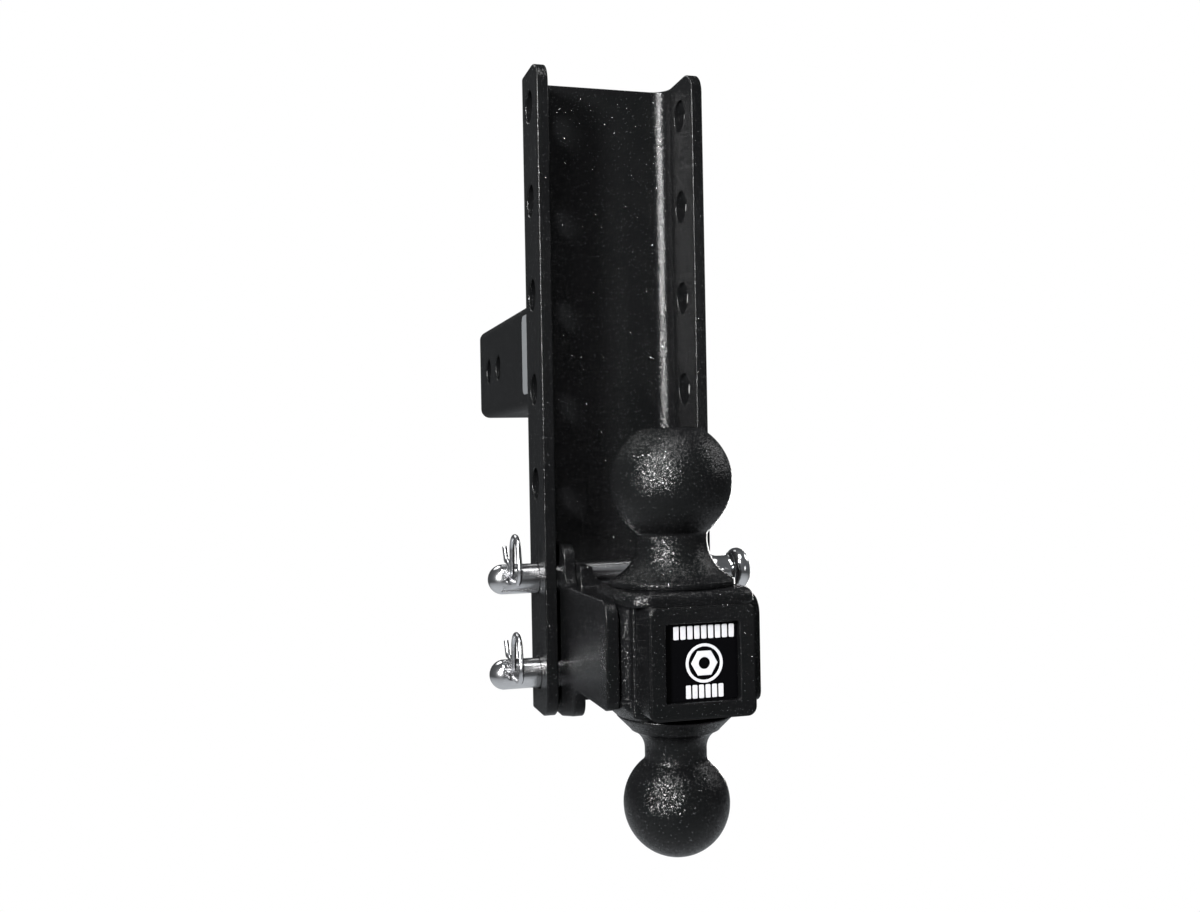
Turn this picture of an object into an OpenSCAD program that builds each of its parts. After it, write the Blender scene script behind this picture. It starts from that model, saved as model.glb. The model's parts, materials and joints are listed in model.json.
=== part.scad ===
// Adjustable ball hitch: a drilled channel on a square shank, carrying a
// two-ball mount that hangs between the channel's flanges on two clipped pins.
// Millimetres.  +Y runs along the shank towards the vehicle, +Z is up, and the
// pins lie along X with their heads at +X.  The origin is on the shank's axis,
// at the centre of the receiver pin hole nearest the channel.

/* [Channel] */
// Width over the two flanges
channel_w = 92.3; // [80:0.1:110]
// Depth from the flange edges to the back of the web
channel_d = 49.2; // [40:0.1:70]
// Wall thickness
channel_t = 6.35; // [5:0.05:10]
// Inner bend radius
channel_r = 9.5; // [5:0.5:14]
// Corner radius at the ends of the flanges
flange_corner_r = 12; // [4:0.5:16]
// Plain length above the top hole
top_margin = 20; // [14:0.1:30]
// Plain length below the bottom hole
bottom_margin = 21.7; // [14:0.1:30]
// Distance from the flange edge to the hole line
hole_line = 20.2; // [14:0.1:30]

/* [Height holes] */
// Distance from one hole to the next
hole_pitch = 50.8; // [25.4:0.1:76.2]
// Number of hole pairs
hole_rows = 7; // [4:1:9]
// Radius of the height holes
hole_r = 8.5; // [8.05:0.05:9]

/* [Shank] */
// Width across the flats of the square shank
shank_w = 63.5; // [50.8:0.1:63.5]
// Outer corner radius
shank_r = 6.5; // [2:0.5:10]
// Distance from the height hole line to the shank's end
shank_reach = 241.3; // [180:0.1:320]
// Distance from the height hole line to the first receiver pin hole
pin_hole_reach = 174; // [120:0.5:220]
// Distance from one receiver pin hole to the other
pin_hole_pitch = 34.7; // [25:0.1:60]
// Radius of the receiver pin holes
pin_hole_r = 8.7; // [8:0.05:9]
// Radius of the weld bead round the shank
weld_r = 6; // [3:0.5:9]

/* [Ball mount] */
// Side play taken up towards the pins' heads
mount_x = 0.4; // [-1:0.1:1]
// Width over the two ears
mount_w = 76.2; // [60:0.1:79]
// Thickness of an ear
ear_t = 6.35; // [5:0.05:10]
// Radius of the pin holes in the ears
ear_hole_r = 8.3; // [8.05:0.05:9]
// Distance from the pins to the front of the ears
ear_reach = 104.2; // [80:0.1:130]
// Depth of the ears' long part below the lower pin
ear_drop = 2; // [0:0.1:6]
// Distance from the pins to the balls' axis
ball_reach = 88.5; // [70:0.1:110]
// Radius of the ears' upper front corners
ear_nose_r = 9.5; // [5:0.5:16]
// Distance from the pins to the front of the block
block_reach = 108; // [85:0.1:135]
// Distance from the pins to the back of the block
block_back = 32; // [24:0.5:50]
// Height of the block's top above the lower pin
block_top = 48.2; // [44:0.1:52]
// Height of the block's bottom above the lower pin
block_bottom = 1.5; // [0:0.1:6]
// Radius of the block's upright edges
block_r = 6.5; // [2:0.5:8]
// Height of the shoulder above the block
shoulder_h = 5.4; // [3:0.1:8]
// Depth of the collar's underside below the lower pin
collar_drop = 7; // [5:0.1:9]

/* [Frame and emblem] */
// Distance from the pins to the front of the square frame
frame_reach = 128.8; // [120:0.1:140]
// Width and height of the square frame
frame_w = 50.8; // [40:0.1:60]
// Height of the frame's middle above the lower pin
frame_z = 22.6; // [15:0.1:30]
// Radius of the frame's corners
frame_r = 4.2; // [2:0.1:8]
// Width and height of the window in the frame
window_w = 35.3; // [25:0.1:42]
// Depth from the front of the frame to the panel
window_d = 3.6; // [1:0.1:8]
// Thickness of the emblem panel
panel_t = 2.5; // [1:0.1:4]
// Radius of the emblem ring
emblem_r = 8.8; // [5:0.1:12]
// Distance of the emblem from the window's middle, towards the pins' heads
emblem_x = 1.5; // [-2:0.1:2]

/* [Balls] */
// Radius of the upper ball
upper_ball_r = 29.37; // [23.8:0.01:29.4]
// Height of the upper ball's centre above the lower pin
upper_ball_z = 102.6; // [95:0.1:115]
// Radius of the upper ball's neck
upper_neck_r = 16.8; // [12:0.1:20]
// Radius of the foot of the upper ball's flare
upper_foot_r = 29.6; // [25:0.1:34]
// Radius of the lower ball
lower_ball_r = 25.4; // [23.8:0.01:25.4]
// Depth of the lower ball's centre below the lower pin
lower_ball_drop = 50; // [42:0.1:60]
// Radius of the lower ball's neck
lower_neck_r = 14.8; // [11:0.1:18]
// Radius of the collar over the lower ball
lower_foot_r = 28; // [22:0.1:30]

/* [Pins and clips] */
// Radius of a pin
pin_r = 7.94; // [7.9:0.01:8]
// Distance from the channel's middle to a pin's nose
pin_nose = 72.8; // [65:0.1:85]
// Distance from the channel's middle to the end of a pin's head
pin_end = 75.3; // [70:0.1:90]
// Radius of a pin's head
head_r = 12; // [10:0.1:14]
// Radius of the collar that stops against the channel
collar_r = 11; // [10:0.1:14]
// Distance from the channel's middle to the clip hole
clip_x = 62.1; // [58:0.1:66]
// Radius of the clip hole
clip_hole_r = 2.3; // [1.8:0.1:3]
// Radius of the clip's wire
wire_r = 1.4; // [1:0.05:1.7]

/* [Hidden] */
$fn = 64;

// Everything is drawn about the lower mount pin and then moved to the origin.
shank_z = 3.5 * hole_pitch;
flange_y = -hole_line;
web_back_y = channel_d - hole_line;
web_front_y = web_back_y - channel_t;
channel_h = (hole_rows - 1) * hole_pitch + top_margin + bottom_margin;
ear_in_x = mount_w / 2 - ear_t;
panel_y = -frame_reach + window_d;
wire_lap = 0.15;
slim_r = wire_r - 0.02;

module placed() {
    translate([0, -pin_hole_reach, -shank_z]) children();
}

module hung() {
    placed() translate([mount_x, 0, 0]) children();
}

// A rod of radius r along +X from x0 to x1
module rod_x(x0, x1, r) {
    translate([x0, 0, 0]) rotate([0, 90, 0]) cylinder(h = x1 - x0, r = r);
}

// A flat outline with round corners, centred on the origin
module round_rect(w, h, r) {
    square([w - 2 * r, h], center = true);
    square([w, h - 2 * r], center = true);
    for (sx = [-1, 1]) {
        for (sy = [-1, 1]) {
            translate([sx * (w / 2 - r), sy * (h / 2 - r)]) circle(r = r);
        }
    }
}

// A bar along +Y with a round-cornered section, from y0 to y1
module bar_y(y0, y1, w, h, r) {
    translate([0, y1, 0]) rotate([90, 0, 0]) linear_extrude(height = y1 - y0) round_rect(w, h, r);
}

// ---------------------------------------------------------------- drawbar

// The channel's bent section, open towards -Y
module channel_section() {
    outer_r = channel_r + channel_t;
    difference() {
        union() {
            translate([-channel_w / 2, flange_y]) square([channel_w, channel_d - outer_r]);
            translate([-channel_w / 2 + outer_r, flange_y]) square([channel_w - 2 * outer_r, channel_d]);
            for (s = [-1, 1]) {
                translate([s * (channel_w / 2 - outer_r), web_back_y - outer_r]) circle(r = outer_r);
            }
        }
        difference() {
            translate([-channel_w / 2 + channel_t, flange_y - 1])
                square([channel_w - 2 * channel_t, web_front_y - flange_y + 1]);
            for (s = [-1, 1]) {
                translate([s * (channel_w / 2 - channel_t), web_front_y]) corner_cove(s);
            }
        }
    }
}

// The material left in an inner corner by the bend, to the side s
module corner_cove(s) {
    difference() {
        translate([s > 0 ? -channel_r : -1, -channel_r]) square([channel_r + 1, channel_r + 1]);
        translate([-s * channel_r, -channel_r]) circle(r = channel_r);
    }
}

// What rounding a flange's end corner takes away
module flange_corner_cut() {
    rotate([0, 90, 0]) difference() {
        translate([-flange_corner_r, -1, -channel_w / 2 - 1])
            cube([flange_corner_r + 1, flange_corner_r + 1, channel_w + 2]);
        translate([-flange_corner_r, flange_corner_r, -channel_w / 2 - 2])
            cylinder(h = channel_w + 4, r = flange_corner_r);
    }
}

module channel() {
    color("dimgray") placed() difference() {
        translate([0, 0, -bottom_margin]) linear_extrude(height = channel_h) channel_section();
        for (row = [0 : hole_rows - 1]) {
            translate([0, 0, row * hole_pitch]) rod_x(-channel_w, channel_w, hole_r);
        }
        translate([0, flange_y, -bottom_margin]) flange_corner_cut();
        translate([0, flange_y, channel_h - bottom_margin]) mirror([0, 0, 1]) flange_corner_cut();
    }
}

module shank() {
    color("dimgray") placed() translate([0, 0, shank_z]) difference() {
        bar_y(web_back_y, shank_reach, shank_w, shank_w, shank_r);
        for (y = [pin_hole_reach, pin_hole_reach + pin_hole_pitch]) {
            translate([0, y, 0]) rod_x(-shank_w, shank_w, pin_hole_r);
        }
    }
}

// Fillet bead along the shank's four sides where it meets the web
module shank_weld() {
    half = shank_w / 2;
    color("dimgray") placed() translate([0, web_back_y, shank_z]) difference() {
        union() {
            for (turn = [0 : 3]) {
                rotate([0, 90 * turn, 0]) {
                    translate([-half, 0, half]) rod_x(0, shank_w, weld_r);
                    translate([-half, 0, half]) sphere(r = weld_r);
                }
            }
        }
        bar_y(-weld_r - 1, weld_r + 1, shank_w, shank_w, shank_r);
        translate([-60, -weld_r - 1, -60]) cube([120, weld_r + 1, 120]);
    }
}

// Plain rating label on the shank's left side
module rating_label() {
    label_t = 0.5;
    color("gainsboro") placed() translate([-shank_w / 2 - label_t, 64, shank_z + 0.8])
        rotate([90, 0, 90]) linear_extrude(height = label_t) round_rect(56, 48, 4.5);
}

// ------------------------------------------------------------- ball mount

// One ear's outline: across is -Y from the pins, up is +Z from the lower pin
module ear_outline() {
    top = 69.5;
    back = -16.5;
    foot = -21;
    shelf = 48.9;
    step = 27.5;
    toe_r = 5;
    heel_r = 8.2;
    heel = 34.7;
    heel_up = -9.2;
    difference() {
        union() {
            // tall part that carries the pins, with round top corners
            translate([back, foot + 7]) square([step - back, top - foot - 15]);
            translate([back + 8, heel_up]) square([step - back - 16, top - heel_up]);
            translate([back + 8, top - 8]) circle(r = 8);
            translate([step - 8, top - 8]) circle(r = 8);
            // long part that runs forward to the balls
            translate([step - 12, -ear_drop])
                square([ear_reach - ear_nose_r - step + 12, shelf + ear_drop]);
            translate([step, toe_r - ear_drop])
                square([ear_reach - step, shelf - ear_nose_r + ear_drop - toe_r]);
            translate([step, -ear_drop]) square([ear_reach - toe_r - step, 20]);
            translate([ear_reach - ear_nose_r, shelf - ear_nose_r]) circle(r = ear_nose_r);
            translate([ear_reach - toe_r, toe_r - ear_drop]) circle(r = toe_r);
            // sloping foot under the pins
            translate([back + 7, foot + 7]) circle(r = 7);
            polygon([[back + 7, foot], [16, foot], [heel + 1.45, heel_up - 8.05], [heel, 5], [back + 7, 5]]);
            translate([heel, heel_up]) circle(r = heel_r);
            translate([heel - 5, heel_up]) square([heel_r + 5, 12]);
            // coves that soften the two inner corners
            translate([step - 1, shelf - 1]) cove(7);
            translate([heel + heel_r - 1, 1 - ear_drop]) mirror([0, 1]) cove(4);
        }
        for (z = [0, hole_pitch]) {
            translate([0, z]) circle(r = ear_hole_r);
        }
    }
}

// A square with a quarter circle taken out of its far corner
module cove(r) {
    difference() {
        square([r + 1, r + 1]);
        translate([r + 1, r + 1]) circle(r = r);
    }
}

module ear(side) {
    x0 = side > 0 ? ear_in_x : -mount_w / 2;
    color("dimgray") hung() translate([x0, 0, 0]) rotate([90, 0, 90])
        linear_extrude(height = ear_t) mirror([1, 0]) ear_outline();
}

module ear_left() {
    ear(-1);
}

module ear_right() {
    ear(1);
}

// Heavy weld that rises from the block's back edge up an ear's inner face
module ear_weld(side) {
    toe = 16;
    cove_r = 9;
    rise = 11;
    front = -36;
    back = -20;
    color("dimgray") hung() translate([0, back, block_top]) rotate([90, 0, 0])
        linear_extrude(height = back - front) mirror([side < 0 ? 1 : 0, 0]) difference() {
            translate([toe, 0]) square([ear_in_x - toe, rise]);
            translate([toe, cove_r + 1.5]) circle(r = cove_r);
        }
}

module ear_weld_left() {
    ear_weld(-1);
}

module ear_weld_right() {
    ear_weld(1);
}

// Solid block between the ears
module mount_block() {
    w = 2 * ear_in_x;
    d = block_reach - block_back;
    color("dimgray") hung() translate([0, -(block_reach + block_back) / 2, block_bottom])
        linear_extrude(height = block_top - block_bottom) intersection() {
            translate([0, 10]) round_rect(w, d + 20, block_r);
            square([w, d], center = true);
        }
}

// Rounded step under the upper ball
module upper_shoulder() {
    edge = 4;
    corner_r = 12;
    front = upper_foot_r + ball_reach + 2.4;
    back = 56.5;
    w = 2 * ear_in_x;
    d = front - back;
    color("dimgray") hung() translate([0, -(front + back) / 2, block_top]) intersection() {
        union() {
            linear_extrude(height = shoulder_h - edge) round_rect(w, d, corner_r);
            linear_extrude(height = shoulder_h) round_rect(w - 2 * edge, d - 2 * edge, corner_r - edge);
            translate([0, 0, shoulder_h - edge]) rounded_rim(w, d, corner_r, edge);
        }
        linear_extrude(height = shoulder_h) square([w, d], center = true);
    }
}

// Quarter-round rim that softens the top edge of a round-cornered slab
module rounded_rim(w, d, r, edge) {
    for (sx = [-1, 1]) {
        for (sy = [-1, 1]) {
            translate([sx * (w / 2 - r), sy * (d / 2 - r), 0])
                rotate([0, 0, sx > 0 ? (sy > 0 ? 0 : 270) : (sy > 0 ? 90 : 180)])
                rotate_extrude(angle = 90) quarter_step(r, edge);
        }
    }
    for (s = [-1, 1]) {
        translate([s * (w / 2 - edge), 0, 0]) rotate([90, 0, 0])
            cylinder(h = d - 2 * r, r = edge, center = true);
        translate([0, s * (d / 2 - edge), 0]) rotate([0, 90, 0])
            cylinder(h = w - 2 * r, r = edge, center = true);
    }
}

module quarter_step(r, edge) {
    intersection() {
        translate([r - edge, 0]) circle(r = edge);
        translate([r - edge, 0]) square(edge);
    }
}

// Tapered collar under the block, let into the frame's bottom edge
module lower_shoulder() {
    top_r = 37.5;
    w = 2 * ear_in_x;
    h = block_bottom + collar_drop;
    color("dimgray") hung() difference() {
        translate([0, -ball_reach, -collar_drop]) intersection() {
            cylinder(h = h, r1 = lower_foot_r + 0.4, r2 = top_r);
            translate([-w / 2, ball_reach - block_reach, -1]) cube([w, 80, h + 2]);
        }
        translate([0, 0, frame_z]) bar_y(-frame_reach, -block_reach, frame_w, frame_w, frame_r);
    }
}

// Square frame round the emblem
module face_frame() {
    y_front = -frame_reach;
    pocket = window_d + panel_t;
    color("dimgray") hung() translate([0, 0, frame_z]) difference() {
        union() {
            bar_y(y_front + 1, -block_reach, frame_w, frame_w, frame_r);
            bar_y(y_front, y_front + 1.2, frame_w - 1.2, frame_w - 1.2, frame_r - 0.6);
        }
        bar_y(y_front - 1, y_front + pocket, window_w, window_w, 1.2);
    }
}

module emblem_panel() {
    size = window_w - 0.2;
    color("black") hung() translate([0, 0, frame_z]) bar_y(panel_y, panel_y + panel_t, size, size, 1.1);
}

// A flat mark standing 0.4 mm proud of the panel
module mark(z) {
    color("white") hung() translate([emblem_x, panel_y, frame_z + z]) rotate([90, 0, 0])
        linear_extrude(height = 0.4) children();
}

// A row of plain upright dashes
module dashes(count, pitch, h) {
    for (i = [0 : count - 1]) {
        translate([(i - (count - 1) / 2) * pitch, 0]) round_rect(0.74 * pitch, h, 0.5);
    }
}

module emblem_ring() {
    mark(-0.8) difference() {
        circle(r = emblem_r);
        circle(r = emblem_r - 1.3);
    }
}

module emblem_core() {
    mark(-0.8) difference() {
        circle(r = 6.3, $fn = 6);
        circle(r = 2.7);
    }
}

module emblem_dashes_top() {
    mark(13.2) dashes(9, 3.3, 6);
}

module emblem_dashes_bottom() {
    mark(-13.4) dashes(6, 3.1, 6);
}

// Outline of a ball on its neck, with the foot at up = 0
module ball_outline(ball_r, ball_z, neck_r, flat_r) {
    flat_z = ball_z + sqrt(ball_r * ball_r - flat_r * flat_r);
    square([neck_r, ball_z]);
    intersection() {
        translate([0, ball_z]) circle(r = ball_r);
        square([ball_r + 1, flat_z]);
    }
}

module upper_ball() {
    base = block_top + shoulder_h;
    foot_h = 3;
    flare_r = 20;
    flare_in = flare_r - (upper_foot_r - upper_neck_r);
    flare_up = foot_h + sqrt(flare_r * flare_r - flare_in * flare_in);
    color("dimgray") hung() translate([0, -ball_reach, base]) rotate_extrude() {
        ball_outline(upper_ball_r, upper_ball_z - base, upper_neck_r, 14.7);
        difference() {
            square([upper_foot_r, flare_up]);
            translate([upper_neck_r + flare_r, flare_up]) circle(r = flare_r);
        }
    }
}

module lower_ball() {
    bevel = 6.6;
    flare_r = 10;
    flare_up = 17;
    flare_edge = lower_foot_r - bevel;
    color("dimgray") hung() translate([0, -ball_reach, -collar_drop]) mirror([0, 0, 1]) rotate_extrude() {
        ball_outline(lower_ball_r, lower_ball_drop - collar_drop, lower_neck_r, 7);
        // bevelled foot
        polygon([[0, 0], [lower_foot_r, 0], [lower_foot_r, 0.8], [flare_edge, 0.8 + bevel], [0, 0.8 + bevel]]);
        // hollow flare between the foot and the neck
        difference() {
            square([flare_edge, flare_up]);
            translate([lower_neck_r + flare_r, flare_up]) circle(r = flare_r);
        }
    }
}

// ----------------------------------------------------------- pins and clips

// Half outline of a pin: across is the radius, up is +X
module pin_outline() {
    nose_x = -64.8;
    collar_x = channel_w / 2 + 0.4;
    waist_r = 10.5;
    crest_r = 5;
    dome_r = 30;
    dome_rim = dome_r * (head_r - crest_r) / (dome_r - crest_r);
    dome_x = pin_end - dome_r;
    crest_x = dome_x + sqrt((dome_r - crest_r) * (dome_r - crest_r) - (head_r - crest_r) * (head_r - crest_r));
    flare_r = 3.2;
    flare_x = crest_x - 7.3;
    translate([0, nose_x]) square([pin_r, crest_x - nose_x]);
    // round nose
    intersection() {
        translate([0, nose_x]) circle(r = pin_nose + nose_x);
        translate([0, -pin_nose - 1]) square([pin_r, pin_nose]);
    }
    // collar with a long cove in front
    difference() {
        translate([0, collar_x]) square([collar_r, 12]);
        translate([pin_r + waist_r, collar_x + 12]) circle(r = waist_r);
    }
    // flare from the waist into the head
    difference() {
        translate([0, flare_x]) square([head_r - 2.4, 4]);
        translate([pin_r + flare_r, flare_x]) circle(r = flare_r);
    }
    // head, round at the rim and gently domed at the end
    translate([head_r - crest_r, crest_x]) circle(r = crest_r);
    intersection() {
        translate([0, crest_x - 3]) square([dome_rim, pin_end - crest_x + 3]);
        translate([0, dome_x]) circle(r = dome_r);
    }
}

module pin(z) {
    color("silver") placed() translate([0, 0, z]) difference() {
        rotate([0, 90, 0]) rotate_extrude() pin_outline();
        translate([-clip_x, 0, 0]) rotate([90, 0, 0]) cylinder(h = 4 * pin_r, r = clip_hole_r, center = true);
    }
}

module upper_pin() {
    pin(hole_pitch);
}

module lower_pin() {
    pin(0);
}

// A bend of the clip's wire about (u, w), from angle a0 to angle a1
module wire_bend(u, w, bend_r, a0, a1, r = wire_r) {
    translate([u, w, 0]) rotate([0, 0, a0]) rotate_extrude(angle = a1 - a0)
        translate([bend_r, 0]) circle(r = r);
}

// A straight length of the clip's wire from (u0, w0) to (u1, w1), a hair
// slimmer than the bends and let into them at both ends
module wire_run(u0, w0, u1, w1) {
    run = sqrt((u1 - u0) * (u1 - u0) + (w1 - w0) * (w1 - w0));
    translate([u0, w0, 0]) rotate([0, 0, atan2(w1 - w0, u1 - u0)])
        translate([-wire_lap, 0, 0]) rotate([0, 90, 0])
        cylinder(h = run + 2 * wire_lap, r = slim_r);
}

// Hairpin clip in its own plane: u runs forward and w up from the pin's axis
module clip_wire() {
    bow_r = 7;
    crown_r = 8.2;
    wrap_r = pin_r + wire_r + 0.31;
    wrap_u = wrap_r * cos(30);
    wrap_w = wrap_r * sin(30);
    valley_r = 2;
    valley_u = wrap_u + valley_r * cos(30);
    valley_w = wrap_w + valley_r * sin(30);
    crown_u = valley_u + valley_r * cos(6) + 11 * sin(6) + crown_r * cos(6);
    crown_w = valley_w - valley_r * sin(6) + 11 * cos(6) - crown_r * sin(6);
    crown_in_u = crown_u + crown_r * cos(15);
    crown_in_w = crown_w + crown_r * sin(15);
    bow_rise = (crown_in_w - bow_r * (1 + sin(15))) / cos(15);
    bow_u = crown_in_u + bow_rise * sin(15) - bow_r * cos(15);
    kick_u = (wrap_r + valley_r) * cos(97);
    kick_w = (wrap_r + valley_r) * sin(97);
    kick_end_u = kick_u + valley_r * cos(-150);
    kick_end_w = kick_w + valley_r * sin(-150);
    // straight leg through the pin
    wire_run(-15, 0, bow_u, 0);
    // bow, riser and crown of the loop
    wire_bend(bow_u, bow_r, bow_r, -90, 15);
    wire_run(bow_u + bow_r * cos(15), bow_r + bow_r * sin(15), crown_in_u, crown_in_w);
    wire_bend(crown_u, crown_w, crown_r, 15, 174);
    // sprung leg: down, round the pin and up again
    wire_run(crown_u - crown_r * cos(6), crown_w + crown_r * sin(6),
        valley_u + valley_r * cos(6), valley_w - valley_r * sin(6));
    wire_bend(valley_u, valley_w, valley_r, -150, -6);
    wire_bend(0, 0, wrap_r, 29.1, 97.9, slim_r);
    wire_bend(kick_u, kick_w, valley_r, -150, -83);
    wire_run(kick_end_u, kick_end_w, kick_end_u - 7 * sin(30), kick_end_w + 7 * cos(30));
}

module clip(z) {
    color("silver") placed() translate([-clip_x, 0, z]) rotate([90, 0, -90]) clip_wire();
}

module upper_clip() {
    clip(hole_pitch);
}

module lower_clip() {
    clip(0);
}

channel();
shank();
shank_weld();
rating_label();
ear_left();
ear_right();
ear_weld_left();
ear_weld_right();
mount_block();
upper_shoulder();
lower_shoulder();
face_frame();
emblem_panel();
emblem_ring();
emblem_core();
emblem_dashes_top();
emblem_dashes_bottom();
upper_ball();
lower_ball();
upper_pin();
lower_pin();
upper_clip();
lower_clip();
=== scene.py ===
"""Looks of the adjustable ball hitch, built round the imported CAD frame."""
import json
import math

import bmesh
import bpy
from mathutils import Matrix, Vector


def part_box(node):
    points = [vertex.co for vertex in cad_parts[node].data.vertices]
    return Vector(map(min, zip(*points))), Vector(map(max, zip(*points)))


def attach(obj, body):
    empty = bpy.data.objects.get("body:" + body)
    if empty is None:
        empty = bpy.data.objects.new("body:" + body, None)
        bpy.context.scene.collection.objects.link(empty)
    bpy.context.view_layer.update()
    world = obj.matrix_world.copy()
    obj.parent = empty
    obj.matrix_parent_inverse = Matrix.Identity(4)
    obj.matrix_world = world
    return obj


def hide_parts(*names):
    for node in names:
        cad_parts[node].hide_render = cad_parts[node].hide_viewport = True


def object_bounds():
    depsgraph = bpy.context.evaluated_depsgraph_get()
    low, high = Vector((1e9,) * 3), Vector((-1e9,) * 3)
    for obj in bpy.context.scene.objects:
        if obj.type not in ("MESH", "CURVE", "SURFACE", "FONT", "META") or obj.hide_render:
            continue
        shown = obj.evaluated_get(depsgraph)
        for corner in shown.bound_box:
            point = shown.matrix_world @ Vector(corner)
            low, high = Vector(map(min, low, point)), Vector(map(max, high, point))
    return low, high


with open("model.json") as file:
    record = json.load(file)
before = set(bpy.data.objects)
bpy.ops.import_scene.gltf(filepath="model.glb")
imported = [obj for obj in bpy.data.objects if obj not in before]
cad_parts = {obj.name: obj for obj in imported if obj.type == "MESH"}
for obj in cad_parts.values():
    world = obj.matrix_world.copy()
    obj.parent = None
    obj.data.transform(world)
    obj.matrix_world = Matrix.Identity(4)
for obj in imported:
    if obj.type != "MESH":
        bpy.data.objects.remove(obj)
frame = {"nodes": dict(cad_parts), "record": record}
NODES = frame["nodes"]
CAD_BOUNDS = [list(corner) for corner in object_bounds()]
MM = 0.001
ROOT = "drawbar"

# ---------------------------------------------------------------- camera

CAMERA_AT = Vector((-0.18728, -0.80294, -0.06401))
CAMERA_YAW = 15.78      # degrees to the right of +Y
CAMERA_PITCH = 0.18     # degrees above the horizon
CAMERA_ROLL = -1.04     # degrees, the camera's top leans to its right
LENS_MM = 35.83
SENSOR_MM = 36.0


def make_camera():
    """The scene's camera, turned by its yaw, pitch and roll."""
    yaw = math.radians(CAMERA_YAW)
    pitch = math.radians(CAMERA_PITCH)
    roll = math.radians(CAMERA_ROLL)
    ahead = Vector((math.sin(yaw) * math.cos(pitch), math.cos(yaw) * math.cos(pitch), math.sin(pitch)))
    level_right = Vector((math.cos(yaw), -math.sin(yaw), 0.0))
    level_up = level_right.cross(ahead)
    right = math.cos(roll) * level_right + math.sin(roll) * level_up
    up = math.cos(roll) * level_up - math.sin(roll) * level_right
    turn = Matrix((right, up, -ahead)).transposed()
    data = bpy.data.cameras.new("camera")
    data.lens = LENS_MM
    data.sensor_width = SENSOR_MM
    data.clip_start = 0.01
    data.clip_end = 50.0
    camera = bpy.data.objects.new("camera", data)
    camera.matrix_world = Matrix.Translation(CAMERA_AT) @ turn.to_4x4()
    bpy.context.scene.collection.objects.link(camera)
    bpy.context.scene.camera = camera


# ------------------------------------------------------- material helpers

class Shader:
    """A small wrapper round a material's node tree."""

    def __init__(self, name):
        self.material = bpy.data.materials.new(name)
        self.material.use_nodes = True
        self.tree = self.material.node_tree
        self.bsdf = self.tree.nodes["Principled BSDF"]
        self.coords = self.node("ShaderNodeTexCoord").outputs["Object"]

    def node(self, kind, **settings):
        """Adds a node, with its own settings."""
        made = self.tree.nodes.new(kind)
        for key, value in settings.items():
            setattr(made, key, value)
        return made

    def link(self, source, target):
        self.tree.links.new(source, target)

    def fill(self, made, **values):
        """Links or sets a node's sockets, named with _ for a space."""
        for key, value in values.items():
            socket = made.inputs[key.replace("_", " ")]
            if isinstance(value, bpy.types.NodeSocket):
                self.link(value, socket)
            else:
                socket.default_value = value
        return made

    def noise(self, scale, detail=2.0, rough=0.5, vector=None):
        """Cloudy noise from about 0 to 1."""
        made = self.node("ShaderNodeTexNoise")
        self.fill(made, Scale=scale, Detail=detail, Roughness=rough)
        self.link(vector or self.coords, made.inputs["Vector"])
        return made.outputs["Fac"]

    def stretched(self, sx, sy, sz):
        """Object coordinates, multiplied along each axis."""
        made = self.node("ShaderNodeMapping")
        made.inputs["Scale"].default_value = (sx, sy, sz)
        self.link(self.coords, made.inputs["Vector"])
        return made.outputs["Vector"]

    def product(self, a, b):
        """One socket's value times another's."""
        made = self.node("ShaderNodeMath", operation="MULTIPLY")
        self.link(a, made.inputs[0])
        self.link(b, made.inputs[1])
        return made.outputs[0]

    def ramp(self, source, low, high, from_value, to_value):
        """Maps source's stretch low..high onto from_value..to_value, clamped."""
        made = self.node("ShaderNodeMapRange")
        self.link(source, made.inputs[0])
        for socket, value in zip(made.inputs[1:5], (low, high, from_value, to_value)):
            socket.default_value = value
        return made.outputs[0]

    def mix(self, factor, a, b):
        """Goes from a to b, each a colour or a socket, as factor goes from 0 to 1."""
        made = self.node("ShaderNodeMix", data_type="RGBA")
        self.link(factor, made.inputs[0])
        for socket, value in zip((made.inputs[6], made.inputs[7]), (a, b)):
            if isinstance(value, bpy.types.NodeSocket):
                self.link(value, socket)
            else:
                socket.default_value = (*value, 1.0)
        return made.outputs[2]

    def bump(self, height, strength, distance, normal=None):
        """The normal of a relief, laid over another normal where one is given."""
        made = self.node("ShaderNodeBump")
        self.fill(made, Strength=strength, Distance=distance, Height=height)
        if normal is not None:
            self.link(normal, made.inputs["Normal"])
        return made.outputs["Normal"]

    def vector_math(self, operation, *values):
        """Vector arithmetic on sockets or plain triples."""
        made = self.node("ShaderNodeVectorMath", operation=operation)
        for socket, value in zip(made.inputs, values):
            if isinstance(value, bpy.types.NodeSocket):
                self.link(value, socket)
            else:
                socket.default_value = value
        return made.outputs[0]

    def cells(self, scale):
        """Voronoi cells, each with its own random colour and its middle's place."""
        made = self.node("ShaderNodeTexVoronoi")
        self.fill(made, Scale=scale, Randomness=1.0)
        self.link(self.coords, made.inputs["Vector"])
        return made

    def leaning(self, normal, grains, amount):
        """The normal, leaned in each cell's own random direction."""
        lean = self.vector_math("SUBTRACT", grains.outputs["Color"], (0.5, 0.5, 0.5))
        lean = self.vector_math("MULTIPLY", lean, (amount, amount, amount))
        return self.vector_math("NORMALIZE", self.vector_math("ADD", normal, lean))

    def surface(self, color, rough, normal, metallic=0.0, specular=None):
        """Sets the surface's main sockets, and gives the material."""
        self.fill(self.bsdf, Base_Color=color, Roughness=rough, Normal=normal, Metallic=metallic)
        if specular is not None:
            self.bsdf.inputs["Specular IOR Level"].default_value = specular
        return self.material


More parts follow.
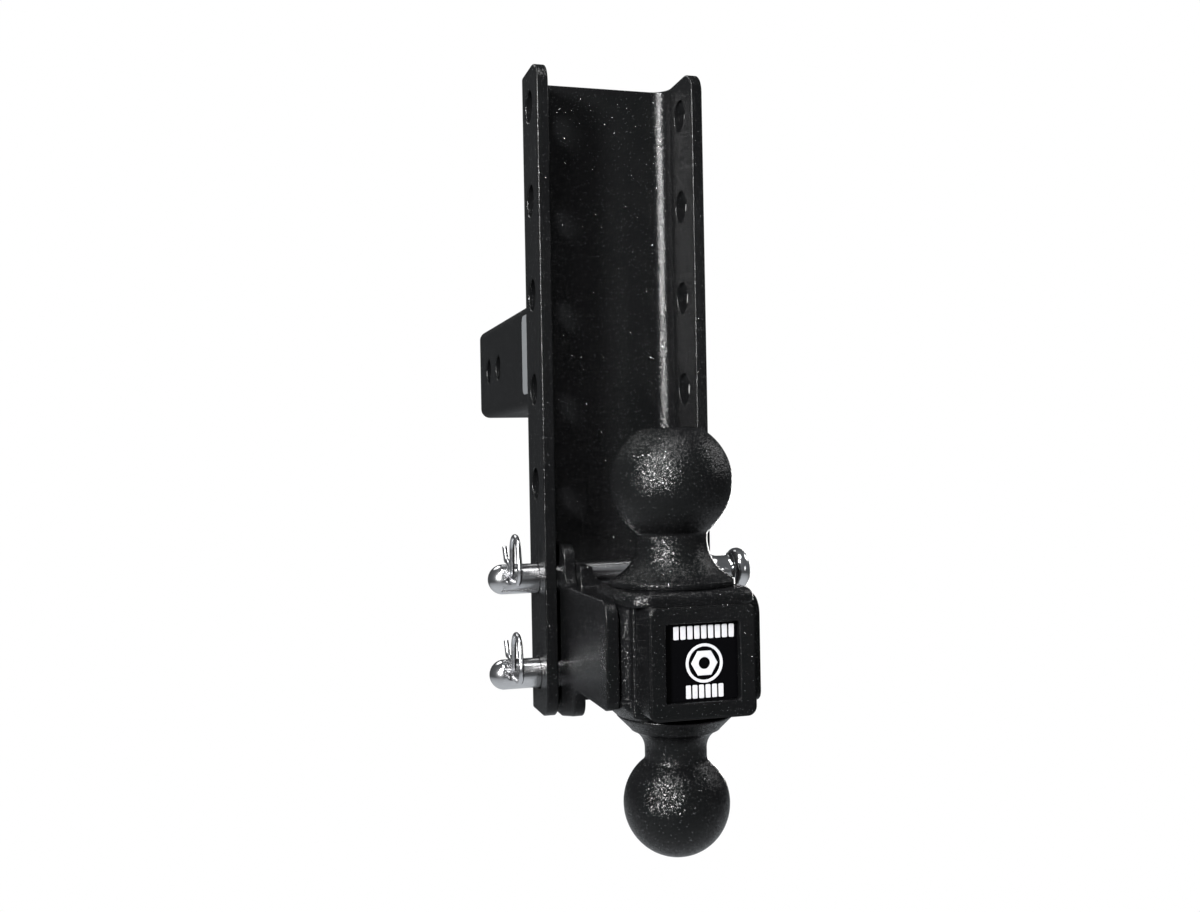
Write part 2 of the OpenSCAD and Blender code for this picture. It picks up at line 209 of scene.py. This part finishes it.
COAT_DARK = (0.0025, 0.0026, 0.0028)
COAT_LIGHT = (0.0036, 0.0037, 0.0039)
COAT_SPECULAR = 0.25    # half the usual 0.5, because the coat is dull
PATCH_SCALE = 28.0      # this and the scales below are per metre
DUST_SCALE = 110.0
PEEL_SCALE = 900.0
GRAIN_SCALE = 1500.0
GRAIN_CELLS = 3400.0
FLAKE_CELLS = 3300.0
FLAKE_COLOR = (0.55, 0.56, 0.58)
FLAKE_SHARE = 0.012     # of the cells
FLAKE_TILT = 1.0
PEEL_DEPTH = 0.0006     # metres
GRAIN_DEPTH = 0.0003


def powder_coat(name, lean_by, rough_low, rough_high):
    """Black textured powder coat with fine bright flakes."""
    s = Shader(name)
    # broad, faint unevenness of the film
    patches = s.ramp(s.noise(PATCH_SCALE, 3.0), 0.35, 0.7, 0.0, 1.0)
    base = s.mix(patches, COAT_DARK, COAT_LIGHT)
    rough = s.ramp(s.noise(DUST_SCALE, 4.0, 0.6), 0.3, 0.7, rough_low, rough_high)
    # leathery relief of the film, two sizes
    relief = s.bump(s.noise(PEEL_SCALE), 0.22, PEEL_DEPTH)
    relief = s.bump(s.noise(GRAIN_SCALE, 2.0, 0.6), 0.12, GRAIN_DEPTH, relief)
    # every grain of the film leans its own way, so a highlight breaks up into dots
    grained = s.leaning(relief, s.cells(GRAIN_CELLS), lean_by)
    # flakes: about one cell in eighty holds a small mirror, which leans further
    chips = s.cells(FLAKE_CELLS)
    chance = s.node("ShaderNodeTexWhiteNoise")
    s.link(chips.outputs["Position"], chance.inputs["Vector"])
    chosen = s.ramp(chance.outputs["Value"], 1.0 - FLAKE_SHARE, 1.001 - FLAKE_SHARE, 0.0, 1.0)
    inside = s.ramp(chips.outputs["Distance"], 0.30, 0.45, 1.0, 0.0)
    flake = s.product(chosen, inside)
    plain = s.node("ShaderNodeNewGeometry").outputs["Normal"]
    tilted = s.leaning(plain, chips, FLAKE_TILT)
    color = s.mix(flake, base, FLAKE_COLOR)
    return s.surface(color, rough, s.mix(flake, grained, tilted), flake, COAT_SPECULAR)


STEEL_BRIGHT = (0.82, 0.82, 0.83)
STEEL_SMUDGED = (0.68, 0.68, 0.69)
WIRE_BRIGHT = (0.80, 0.80, 0.81)
WIRE_DULL = (0.66, 0.66, 0.68)
PANEL_BLACK = (0.0012, 0.0012, 0.0015)
PANEL_DUST = (0.025, 0.025, 0.028)
PRINT_BRIGHT = (0.52, 0.52, 0.53)
PRINT_DULL = (0.40, 0.40, 0.42)
LABEL_LIGHT = (0.150, 0.155, 0.160)
LABEL_DARK = (0.120, 0.125, 0.130)
INK_LIGHT = (0.025, 0.025, 0.028)
INK_DARK = (0.018, 0.018, 0.02)
FILM_SPECULAR = 0.2     # of the panel and the label


def turned_steel():
    """Bright stainless with lathe marks round X."""
    s = Shader("turned_steel")
    rings = s.noise(1.0, 3.0, 0.6, s.stretched(2600.0, 12.0, 12.0))
    smudge = s.noise(90.0, 3.0)
    color = s.mix(s.ramp(smudge, 0.3, 0.75, 0.0, 1.0), STEEL_BRIGHT, STEEL_SMUDGED)
    rough = s.ramp(smudge, 0.3, 0.7, 0.13, 0.24)
    return s.surface(color, rough, s.bump(rings, 0.10, 0.00008), 1.0)


def drawn_wire():
    """Bright drawn spring wire."""
    s = Shader("drawn_wire")
    lines = s.noise(1500.0, 2.0)
    color = s.mix(lines, WIRE_BRIGHT, WIRE_DULL)
    rough = s.ramp(s.noise(300.0, 3.0), 0.3, 0.7, 0.16, 0.28)
    return s.surface(color, rough, s.bump(lines, 0.08, 0.0001), 1.0)


def gloss_panel():
    """Glossy black plastic with faint dust."""
    s = Shader("gloss_panel")
    dust = s.ramp(s.noise(2600.0, 2.0, 0.7), 0.72, 0.78, 0.0, 1.0)
    color = s.mix(dust, PANEL_BLACK, PANEL_DUST)
    rough = s.ramp(s.noise(160.0, 3.0), 0.3, 0.7, 0.03, 0.09)
    return s.surface(color, rough, s.bump(s.noise(60.0), 0.05, 0.0006), 0.0, FILM_SPECULAR)


def silver_print():
    """Silver-white ink of the emblem."""
    s = Shader("silver_print")
    speck = s.noise(900.0, 3.0)
    color = s.mix(speck, PRINT_BRIGHT, PRINT_DULL)
    rough = s.ramp(s.noise(200.0), 0.3, 0.7, 0.28, 0.4)
    return s.surface(color, rough, s.bump(speck, 0.06, 0.0001))


def label_film(name, light, dark):
    """Satin film with a faint fibre."""
    s = Shader(name)
    fibre = s.noise(1.0, 4.0, 0.6, s.stretched(400.0, 900.0, 2600.0))
    color = s.mix(s.ramp(fibre, 0.35, 0.65, 0.0, 1.0), light, dark)
    rough = s.ramp(s.noise(120.0, 3.0), 0.3, 0.7, 0.34, 0.5)
    return s.surface(color, rough, s.bump(fibre, 0.08, 0.00012), 0.0, FILM_SPECULAR)


make_camera()
COAT = powder_coat("powder_coat_cast", 0.58, 0.18, 0.24)
PLATE_COAT = powder_coat("powder_coat_plate", 0.31, 0.20, 0.26)
STEEL = turned_steel()
WIRE = drawn_wire()
PANEL = gloss_panel()
PRINT = silver_print()
LABEL = label_film("label_film", LABEL_LIGHT, LABEL_DARK)
LABEL_INK = label_film("label_ink", INK_LIGHT, INK_DARK)


def paint(thing, material):
    """Gives a CAD node one material."""
    thing.data.materials.clear()
    thing.data.materials.append(material)


# --------------------------------------------------- carried-over CAD nodes

SEAM_GAP = 0.02 * MM    # points nearer than this become one
COPY_GAP = 0.01 * MM    # the same, in the made core
FLAT_ANGLE = 0.4        # degrees between facets of one flat face
SHARP_ANGLE = 28.0      # degrees, from which an edge is rounded


def soften(thing, width, clamp):
    """Rounds a CAD node's sharp edges with modifiers, and leaves its mesh alone."""
    weld = thing.modifiers.new("weld", "WELD")
    weld.merge_threshold = SEAM_GAP
    flats = thing.modifiers.new("flats", "DECIMATE")
    flats.decimate_type = "DISSOLVE"
    flats.angle_limit = math.radians(FLAT_ANGLE)
    bevel = thing.modifiers.new("bevel", "BEVEL")
    bevel.width = width
    bevel.segments = 3
    bevel.limit_method = "ANGLE"
    bevel.angle_limit = math.radians(SHARP_ANGLE)
    bevel.harden_normals = False
    bevel.use_clamp_overlap = clamp
    shade = thing.modifiers.new("shade", "WEIGHTED_NORMAL")
    shade.keep_sharp = False
    for face in thing.data.polygons:
        face.use_smooth = True


# each carried-over node's material and the width of its softened edges, 0 for none
CARRIED = {
    "channel": (PLATE_COAT, 0.8 * MM),
    "shank": (PLATE_COAT, 0.8 * MM),
    "ear_left": (PLATE_COAT, 0.9 * MM),
    "ear_right": (PLATE_COAT, 0.9 * MM),
    "face_frame": (PLATE_COAT, 0.7 * MM),
    "emblem_panel": (PANEL, 0.2 * MM),
    "emblem_ring": (PRINT, 0.1 * MM),
    "emblem_core": (PRINT, 0.1 * MM),
    "emblem_dashes_top": (PRINT, 0.1 * MM),
    "emblem_dashes_bottom": (PRINT, 0.1 * MM),
    "rating_label": (LABEL, 0.1 * MM),
    "upper_pin": (STEEL, 0.3 * MM),
    "lower_pin": (STEEL, 0.3 * MM),
    "upper_clip": (WIRE, 0.0),
    "lower_clip": (WIRE, 0.0),
}
for name, (material, width) in CARRIED.items():
    paint(NODES[name], material)
    if width > 0.0:
        soften(NODES[name], width, name.endswith("pin"))


# ------------------------------------------------------------ made pieces

LATHE_SIDES = 160


def add_piece(name, mesh, material, slot, body, *nodes):
    """Links a made mesh into the scene as a piece that rides on a body."""
    piece = bpy.data.objects.new(name, mesh)
    bpy.context.scene.collection.objects.link(piece)
    mesh.materials.clear()
    mesh.materials.append(material)
    for face in mesh.polygons:
        face.use_smooth = True
    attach(piece, body)
    if nodes:
        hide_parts(*nodes)
    return piece


def corners(name):
    """A node's lowest and highest corners."""
    low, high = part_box(name)
    return Vector(low), Vector(high)


def arc(centre_r, centre_z, radius, start, end, steps):
    """Points of an arc in a flat outline; angles in degrees from its first axis."""
    points = []
    for i in range(steps + 1):
        angle = math.radians(start + (end - start) * i / steps)
        points.append((centre_r + radius * math.cos(angle), centre_z + radius * math.sin(angle)))
    return points


def lathe(name, profile, axis_x, axis_y, node):
    """Turns a profile of (radius, z), whose two ends are on the axis, into a closed piece."""
    mesh = bpy.data.meshes.new(name)
    made = bmesh.new()
    first = made.verts.new((axis_x, axis_y, profile[0][1]))
    last = made.verts.new((axis_x, axis_y, profile[-1][1]))
    rings = []
    for radius, z in profile[1:-1]:
        ring = []
        for i in range(LATHE_SIDES):
            angle = 2 * math.pi * i / LATHE_SIDES
            x = axis_x + radius * math.cos(angle)
            y = axis_y + radius * math.sin(angle)
            ring.append(made.verts.new((x, y, z)))
        rings.append(ring)
    for i in range(LATHE_SIDES):
        j = (i + 1) % LATHE_SIDES
        made.faces.new((first, rings[0][i], rings[0][j]))
        made.faces.new((last, rings[-1][j], rings[-1][i]))
        for upper, lower in zip(rings, rings[1:]):
            made.faces.new((upper[i], lower[i], lower[j], upper[j]))
    bmesh.ops.recalc_face_normals(made, faces=made.faces)
    made.to_mesh(mesh)
    made.free()
    add_piece(name, mesh, COAT, "powder_coat", ROOT, node)


def ball_to_neck(ball_r, neck_r, fillet):
    """Profile from a ball's equator down to its neck, the ball's centre at z = 0."""
    reach = neck_r + fillet
    drop = math.sqrt((ball_r + fillet) ** 2 - reach ** 2)
    meet = math.degrees(math.atan2(drop, reach))
    ball = arc(0.0, 0.0, ball_r, 0.0, -meet, 30)
    hollow = arc(reach, -drop, fillet, 180.0 - meet, 180.0, 10)
    return ball + hollow[1:]


def ball_top(ball_r, flat_r, edge):
    """Profile from the middle of a ball's flat top out over its rounded edge to the equator."""
    flat_z = math.sqrt(ball_r ** 2 - flat_r ** 2)
    centre_z = flat_z - edge
    centre_r = math.sqrt((ball_r - edge) ** 2 - centre_z ** 2)
    meet = math.degrees(math.atan2(centre_z, centre_r))
    rim = arc(centre_r, centre_z, edge, 90.0, meet, 6)
    return [(0.0, flat_z)] + rim + arc(0.0, 0.0, ball_r, meet, 0.0, 30)[1:-1]


def shifted(profile, z, flip=1.0):
    """A profile moved up by z; flip = -1 turns it upside down first."""
    return [(radius, z + flip * up) for radius, up in profile]


MOUNTS = {mount["name"]: mount for mount in frame["record"]["mounts"]}
BALL_TOP_EDGE = 1.2 * MM        # radius of the edge round a ball's flat top


def ball_facts(mount, node):
    """Axis x and y, centre height and radius of a ball, with its node's box."""
    low, high = corners(node)
    at = MOUNTS[mount]["pos_m"]
    return at[0], at[1], at[2], MOUNTS[mount]["dims"]["r_mm"] * MM, low, high


def make_upper_ball():
    """The larger ball, its neck flaring out to a low foot."""
    x, y, z, ball_r, low, high = ball_facts("upper_tow_ball", "upper_ball")
    neck_r = 16.8 * MM
    foot_r = 29.6 * MM
    foot_h = 3.0 * MM
    foot_bevel = 0.4 * MM
    flare_r = 20.0 * MM
    neck_fillet = 2.6 * MM
    lip = 0.7 * MM
    flat_r = math.sqrt(ball_r ** 2 - (high.z - z) ** 2)
    flare_in = flare_r - (foot_r - neck_r)
    flare_z = low.z + foot_h + math.sqrt(flare_r ** 2 - flare_in ** 2)
    flare_end = 180.0 + math.degrees(math.acos(flare_in / flare_r))
    profile = shifted(ball_top(ball_r, flat_r, BALL_TOP_EDGE), z)
    profile += shifted(ball_to_neck(ball_r, neck_r, neck_fillet), z)
    flare = arc(neck_r + flare_r, flare_z, flare_r, 180.0, flare_end, 24)
    profile += flare[:-1]
    profile += arc(foot_r - lip, low.z + foot_h - lip, lip, 75.0, 0.0, 5)
    profile += [(foot_r, low.z + foot_bevel), (foot_r - foot_bevel, low.z), (0.0, low.z)]
    lathe("upper_ball_turned", profile, x, y, "upper_ball")


def make_lower_ball():
    """The smaller ball, upside down, its neck meeting a bevelled foot."""
    x, y, z, ball_r, low, high = ball_facts("lower_tow_ball", "lower_ball")
    neck_r = 14.8 * MM
    foot_r = 28.0 * MM
    foot_h = 0.8 * MM
    bevel = 6.6 * MM
    flare_r = 10.0 * MM
    flare_up = 17.0 * MM
    neck_fillet = 3.0 * MM
    edge_r = foot_r - bevel
    flat_r = math.sqrt(ball_r ** 2 - (z - low.z) ** 2)
    top = high.z
    # the flare's circle, from the neck to where the bevel meets it
    centre_r = neck_r + flare_r
    flare_end = 180.0 - math.degrees(math.acos((centre_r - edge_r) / flare_r))
    profile = shifted(ball_top(ball_r, flat_r, BALL_TOP_EDGE), z, -1.0)
    profile += shifted(ball_to_neck(ball_r, neck_r, neck_fillet), z, -1.0)
    profile += arc(centre_r, top - flare_up, flare_r, 180.0, flare_end, 16)
    # the bevel's two ends, then the foot's short wall and its softened rim
    profile.append((edge_r + 0.3 * MM, top - foot_h - bevel + 0.3 * MM))
    profile.append((foot_r - 0.5 * MM, top - foot_h - 0.5 * MM))
    profile.append((foot_r, top - foot_h + 0.1 * MM))
    profile.append((foot_r, top - 0.1 * MM))
    profile.append((foot_r - 0.2 * MM, top))
    profile.append((0.0, top))
    lathe("lower_ball_turned", profile, x, y, "lower_ball")


def copy_shape(made, node, nudge):
    """Adds a copy of a CAD node's shape to a bmesh, its points moved by nudge."""
    source = bmesh.new()
    source.from_mesh(NODES[node].data)
    bmesh.ops.remove_doubles(source, verts=source.verts, dist=COPY_GAP)
    for vert in source.verts:
        vert.co = nudge(vert.co.copy())
    part = bpy.data.meshes.new("part")
    source.to_mesh(part)
    source.free()
    made.from_mesh(part)
    bpy.data.meshes.remove(part)


def add_box(made, low, high):
    """Adds a box between two corners to a bmesh."""
    grown = bmesh.ops.create_cube(made, size=1.0)["verts"]
    for vert in grown:
        vert.co = Vector([low[i] + (vert.co[i] + 0.5) * (high[i] - low[i]) for i in range(3)])


def add_block(made, low, high, corner_r):
    """A block whose two upright front edges are rounded."""
    outline = [(low.x, high.y), (high.x, high.y)]
    outline += arc(high.x - corner_r, low.y + corner_r, corner_r, 0.0, -90.0, 16)
    outline += arc(low.x + corner_r, low.y + corner_r, corner_r, -90.0, -180.0, 16)
    floor = [made.verts.new((x, y, low.z)) for x, y in outline]
    roof = [made.verts.new((x, y, high.z)) for x, y in outline]
    made.faces.new(floor)
    made.faces.new(roof)
    for i in range(len(outline)):
        j = (i + 1) % len(outline)
        made.faces.new((floor[i], floor[j], roof[j], roof[i]))
    bmesh.ops.recalc_face_normals(made, faces=made.faces)


VOXEL = 0.65 * MM
SMOOTH_PASSES = 7


def make_mount_core():
    """The cast middle of the ball mount, its steps run together by small fillets."""
    lap = 1.5 * MM          # how far the other shapes reach into the block
    near = 0.01 * MM        # points this near the block's face count as on it
    front_corner_r = 10.0 * MM
    skirt = 1.8 * MM
    skirt_front = 2.4 * MM
    skirt_back = 3.0 * MM
    block_low, block_high = corners("mount_block")
    frame_low, frame_high = corners("face_frame")
    made = bmesh.new()
    add_block(made, block_low, block_high, front_corner_r)

    def into_block_below(co):
        if co.z < block_high.z + near:
            co.z -= lap
        return co

    def into_block_above(co):
        if co.z > block_low.z - near:
            co.z += lap
        return co

    copy_shape(made, "upper_shoulder", into_block_below)
    copy_shape(made, "lower_shoulder", into_block_above)
    for side in ("left", "right"):
        copy_shape(made, "ear_weld_" + side, into_block_below)
    # low step round the frame's foot
    add_box(made, (frame_low.x - skirt, frame_high.y - skirt_front, frame_low.z - skirt),
            (frame_high.x + skirt, frame_high.y + skirt_back, frame_high.z))
    mesh = bpy.data.meshes.new("mount_core_rough")
    made.to_mesh(mesh)
    made.free()
    rough = bpy.data.objects.new("mount_core_rough", mesh)
    bpy.context.scene.collection.objects.link(rough)
    remesh = rough.modifiers.new("remesh", "REMESH")
    remesh.mode = "VOXEL"
    remesh.voxel_size = VOXEL
    smooth = rough.modifiers.new("smooth", "SMOOTH")
    smooth.factor = 0.5
    smooth.iterations = SMOOTH_PASSES
    graph = bpy.context.evaluated_depsgraph_get()
    smoothed = bpy.data.meshes.new_from_object(rough.evaluated_get(graph))
    bpy.data.objects.remove(rough)
    add_piece("mount_core", smoothed, COAT, "powder_coat", ROOT,
              "mount_block", "upper_shoulder", "lower_shoulder", "ear_weld_left", "ear_weld_right")


def make_shank_bead():
    """Weld bead round the shank, laid in overlapping ripples."""
    low, high = corners("shank_weld")
    shank_low, shank_high = corners("shank")
    half = (shank_high.x - shank_low.x) / 2
    centre_z = (low.z + high.z) / 2
    corner_r = 6.5 * MM
    bead_r = high.y - low.y
    pitch = 3.1 * MM        # from ripple to ripple
    station_gap = 0.5 * MM
    root = 0.5 * MM         # how far the bead's root lies inside the shank
    least = 0.90            # this, ripple and wobble are shares of bead_r
    ripple = 0.09
    wobble = 0.02
    hollow = 0.10           # share by which the round is flatter in its middle
    fullness = 0.6          # below 1 the ripples are plumper
    wobble_rate = 217.0     # radians per metre
    lean_share = 0.22       # of the pitch
    side = 2 * (half - corner_r)
    turn = 0.5 * math.pi * corner_r
    length = 4 * (side + turn)
    stations = 2 * int(length / station_gap / 2)
    steps = 8
    made = bmesh.new()
    rings = []
    for i in range(stations):
        along = length * i / stations
        quarter, rest = divmod(along, side + turn)
        heading = math.radians(90.0 * quarter)
        if rest < side:
            point = Vector((half, 0.0, -half + corner_r + rest))
            outward = Vector((1.0, 0.0, 0.0))
        else:
            angle = (rest - side) / corner_r
            outward = Vector((math.cos(angle), 0.0, math.sin(angle)))
            point = Vector((half - corner_r, 0.0, half - corner_r)) + corner_r * outward
        spin = Matrix.Rotation(-heading, 3, "Y")
        point = spin @ point
        outward = spin @ outward
        # each ripple swells in its middle, and a little unevenly from one to the next
        phase = (along / pitch) % 1.0
        swell = least + ripple * math.sin(math.pi * phase) ** fullness
        swell -= wobble * math.sin(along * wobble_rate)
        ring = [made.verts.new(Vector((0, low.y, centre_z)) + point - root * outward)]
        for k in range(steps + 1):
            angle = math.radians(90.0 * k / steps)
            reach = swell * bead_r * (1.0 - hollow * math.sin(2 * angle))
            lean = lean_share * pitch * math.sin(2 * angle)
            tangent = outward.cross(Vector((0.0, 1.0, 0.0)))
            spot = point + outward * (reach * math.cos(angle)) + tangent * lean
            out = low.y + reach * math.sin(angle)
            ring.append(made.verts.new(Vector((spot.x, out, centre_z + spot.z))))
        ring.append(made.verts.new(Vector((0, ring[-1].co.y, centre_z)) + point - root * outward))
        rings.append(ring)
    for i in range(stations):
        here, there = rings[i], rings[(i + 1) % stations]
        for k in range(len(here)):
            m = (k + 1) % len(here)
            made.faces.new((here[k], here[m], there[m], there[k]))
    bmesh.ops.recalc_face_normals(made, faces=made.faces)
    mesh = bpy.data.meshes.new("shank_bead")
    made.to_mesh(mesh)
    made.free()
    add_piece("shank_bead", mesh, COAT, "powder_coat", ROOT, "shank_weld")


def make_label_bars():
    """Plain ink bars on the label, without lettering."""
    low, high = corners("rating_label")
    proud = 0.06 * MM
    sunk = 0.1 * MM
    width = high.y - low.y
    height = high.z - low.z
    # one thick bar over four thin ones, as shares of the label's width and height
    bars = [(0.08, 0.72, 0.80, 0.92)]
    for i in range(4):
        bars.append((0.08, 0.72 if i % 2 else 0.58, 0.66 - 0.13 * i, 0.70 - 0.13 * i))
    made = bmesh.new()
    for y0, y1, z0, z1 in bars:
        add_box(made, (low.x - proud, low.y + y0 * width, low.z + z0 * height),
                (low.x + sunk, low.y + y1 * width, low.z + z1 * height))
    mesh = bpy.data.meshes.new("label_bars")
    made.to_mesh(mesh)
    made.free()
    piece = add_piece("label_bars", mesh, LABEL_INK, "label", ROOT)
    for face in piece.data.polygons:
        face.use_smooth = False


make_upper_ball()
make_lower_ball()
make_mount_core()
make_shank_bead()
make_label_bars()


# ------------------------------------------------------------------- studio

TARGET = (Vector(CAD_BOUNDS[0]) + Vector(CAD_BOUNDS[1])) / 2      # the object's middle
WHITE = (1.0, 1.0, 1.0, 1.0)
COOL = (0.92, 0.96, 1.0, 1.0)
WORLD_FRONT = 0.11      # strength from the front
WORLD_BACK = 0.075      # strength from behind
WORLD_FADE = (-0.1, 0.8)        # from front to behind, along the Y of the world's direction
FLOOR_NEAR = 0.56       # strength under the object
FLOOR_FAR = 0.08        # strength further away
FLOOR_FADE = (0.6, 1.5)         # metres from the object's origin
FLOOR_DROP = 0.25       # below the object
FLOOR_REACH = 12.0      # half the floor's side

# each soft box's direction from the object, distance, width, height and watts
SOFT_BOXES = {
    "key_left": ((-22.3, -22.65, 9.8), 1.6, 0.24, 0.24, 66.0),
    "key_high": ((-0.43, -0.61, 0.67), 1.6, 0.35, 0.35, 13.0),
    "overhead": ((-0.1, -0.45, 1.3), 1.5, 0.4, 0.4, 9.0),
    "key_right": ((13.7, -22.65, 2.2), 1.6, 0.16, 0.16, 0.7),
    "rim_right": ((1.0, 0.15, 0.5), 1.5, 0.4, 0.5, 4.0),
    "back_right": ((0.7, 1.4, -0.3), 1.6, 0.6, 0.6, 14.0),
    "back_left": ((-0.6, 1.3, 1.5), 1.8, 0.7, 0.7, 5.0),
}


def add_soft_box(name, toward, distance, width, height, watts):
    """A soft box that stands in the direction given, and faces the object."""
    place = TARGET + Vector(toward).normalized() * distance
    data = bpy.data.lights.new(name, "AREA")
    data.shape = "RECTANGLE"
    data.size = width
    data.size_y = height
    data.energy = watts
    lamp = bpy.data.objects.new(name, data)
    lamp.location = place
    lamp.rotation_mode = "QUATERNION"
    lamp.rotation_quaternion = (TARGET - place).to_track_quat("-Z", "Y")
    bpy.context.scene.collection.objects.link(lamp)


def split_light(tree, kind, lit_strength, output):
    """White to the camera and dimmer to the object; gives the dimmer glow."""
    mix = tree.nodes.new("ShaderNodeMixShader")
    path = tree.nodes.new("ShaderNodeLightPath")
    tree.links.new(path.outputs["Is Camera Ray"], mix.inputs[0])
    glows = []
    for place, strength, color in ((1, lit_strength, COOL), (2, 1.0, WHITE)):
        glow = tree.nodes.new(kind)
        glow.inputs["Color"].default_value = color
        glow.inputs["Strength"].default_value = strength
        tree.links.new(glow.outputs[0], mix.inputs[place])
        glows.append(glow)
    tree.links.new(mix.outputs[0], tree.nodes[output].inputs["Surface"])
    return glows[0]


def fade_strength(tree, glow, source, stretch, near, far):
    """Fades a glow's strength from near to far, as source goes along its stretch."""
    fade = tree.nodes.new("ShaderNodeMapRange")
    for socket, value in zip(fade.inputs[1:5], (*stretch, near, far)):
        socket.default_value = value
    tree.links.new(source, fade.inputs[0])
    tree.links.new(fade.outputs[0], glow.inputs["Strength"])


def make_world():
    """An even studio that is dimmer behind the object."""
    world = bpy.data.worlds.new("studio")
    bpy.context.scene.world = world
    world.use_nodes = True
    tree = world.node_tree
    glow = split_light(tree, "ShaderNodeBackground", WORLD_FRONT, "World Output")
    coords = tree.nodes.new("ShaderNodeTexCoord")
    parts = tree.nodes.new("ShaderNodeSeparateXYZ")
    tree.links.new(coords.outputs["Generated"], parts.inputs[0])
    fade_strength(tree, glow, parts.outputs["Y"], WORLD_FADE, WORLD_FRONT, WORLD_BACK)


def make_floor():
    """A plain white floor well under the object, whose bounce fades with distance."""
    level = CAD_BOUNDS[0][2] - FLOOR_DROP
    mesh = bpy.data.meshes.new("floor")
    signs = [(-1, -1), (1, -1), (1, 1), (-1, 1)]
    mesh.from_pydata([(x * FLOOR_REACH, y * FLOOR_REACH, level) for x, y in signs], [], [(0, 1, 2, 3)])
    floor = bpy.data.objects.new("floor", mesh)
    bpy.context.scene.collection.objects.link(floor)
    material = bpy.data.materials.new("floor_white")
    material.use_nodes = True
    tree = material.node_tree
    glow = split_light(tree, "ShaderNodeEmission", FLOOR_NEAR, "Material Output")
    coords = tree.nodes.new("ShaderNodeTexCoord")
    length = tree.nodes.new("ShaderNodeVectorMath")
    length.operation = "LENGTH"
    tree.links.new(coords.outputs["Object"], length.inputs[0])
    fade_strength(tree, glow, length.outputs["Value"], FLOOR_FADE, FLOOR_NEAR, FLOOR_FAR)
    mesh.materials.append(material)


make_world()
make_floor()
for name, settings in SOFT_BOXES.items():
    add_soft_box(name, *settings)
bpy.context.scene.view_settings.view_transform = "Standard"
